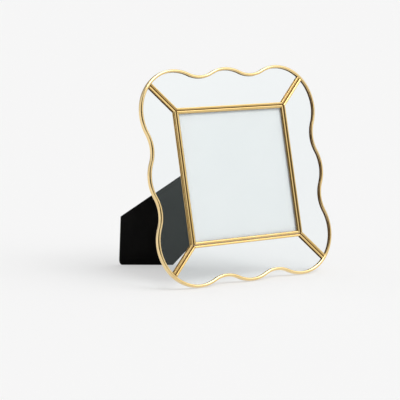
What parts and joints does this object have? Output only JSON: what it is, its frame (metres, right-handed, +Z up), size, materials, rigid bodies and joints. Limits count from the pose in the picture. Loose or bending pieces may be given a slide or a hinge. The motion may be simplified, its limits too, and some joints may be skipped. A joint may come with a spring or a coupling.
{
  "type": "tabletop picture frame",
  "caption": "Square tabletop picture frame with a scalloped brass rim, clear glass side panels, a picture opening under glass and a folding easel strut at the back.",
  "frame": {"origin": "on the table under the middle of the standing frame's box, strut open", "axes": "+X to the viewer's right along the frame's width, the front faces -Y, +Z up"},
  "size_m": [0.1624, 0.1012, 0.157],
  "materials": {
    "brass": "polished, lightly lacquered",
    "brass_fitting": "satin",
    "clear_glass": "clear, faint green-blue tint",
    "white_card": "matt uncoated card",
    "black_board": "black flocked board"
  },
  "bodies": {
    "frame": {"top_glass": "clear_glass", "top_edge_came": "brass", "top_inner_came": "brass", "top_mitre_came_by_left": "brass", "top_mitre_came_by_right": "brass", "top_picture_rail": "brass", "top_turn_button_rivet": "brass_fitting", "right_glass": "clear_glass", "right_edge_came": "brass", "right_inner_came": "brass", "right_mitre_came_by_top": "brass", "right_mitre_came_by_bottom": "brass", "right_picture_rail": "brass", "right_turn_button_rivet": "brass_fitting", "bottom_glass": "clear_glass", "bottom_edge_came": "brass", "bottom_inner_came": "brass", "bottom_mitre_came_by_right": "brass", "bottom_mitre_came_by_left": "brass", "bottom_picture_rail": "brass", "bottom_turn_button_rivet": "brass_fitting", "left_glass": "clear_glass", "left_edge_came": "brass", "left_inner_came": "brass", "left_mitre_came_by_bottom": "brass", "left_mitre_came_by_top": "brass", "left_picture_rail": "brass", "left_turn_button_rivet": "brass_fitting", "picture_glass": "clear_glass", "photo_insert": "white_card", "backing_board": "black_board", "board_leaf_rivet_1": "brass_fitting", "board_leaf_rivet_2": "brass_fitting", "hinge_board_leaf": "brass_fitting", "hinge_pin": "brass_fitting"},
    "strut": {"strut_board": "black_board", "hinge_strut_leaf": "brass_fitting", "strut_leaf_rivet_1": "brass_fitting", "strut_leaf_rivet_2": "brass_fitting"},
    "top_turn_button": {"top_turn_button": "brass_fitting"},
    "right_turn_button": {"right_turn_button": "brass_fitting"},
    "bottom_turn_button": {"bottom_turn_button": "brass_fitting"},
    "left_turn_button": {"left_turn_button": "brass_fitting"}
  },
  "joints": [
    {"name": "strut_fold", "type": "hinge", "parent": "frame", "child": "strut", "pos_m": [0.01248, -0.01934, 0.08923], "axis": [-0.7071, 0.1888, 0.6814], "range_deg": [0, 42.8]},
    {"name": "top_turn_button_swing", "type": "hinge", "parent": "frame", "child": "top_turn_button", "pos_m": [0, -0.01196, 0.12051], "axis": [0, 0.9637, -0.267], "range_deg": [-90, 90]},
    {"name": "right_turn_button_swing", "type": "hinge", "parent": "frame", "child": "right_turn_button", "pos_m": [0.0446, -0.02387, 0.07753], "axis": [0, 0.9637, -0.267], "range_deg": [-90, 90]},
    {"name": "bottom_turn_button_swing", "type": "hinge", "parent": "frame", "child": "bottom_turn_button", "pos_m": [0, -0.03578, 0.03455], "axis": [0, 0.9637, -0.267], "range_deg": [-90, 90]},
    {"name": "left_turn_button_swing", "type": "hinge", "parent": "frame", "child": "left_turn_button", "pos_m": [-0.0446, -0.02387, 0.07753], "axis": [0, 0.9637, -0.267], "range_deg": [-90, 90]}
  ]
}
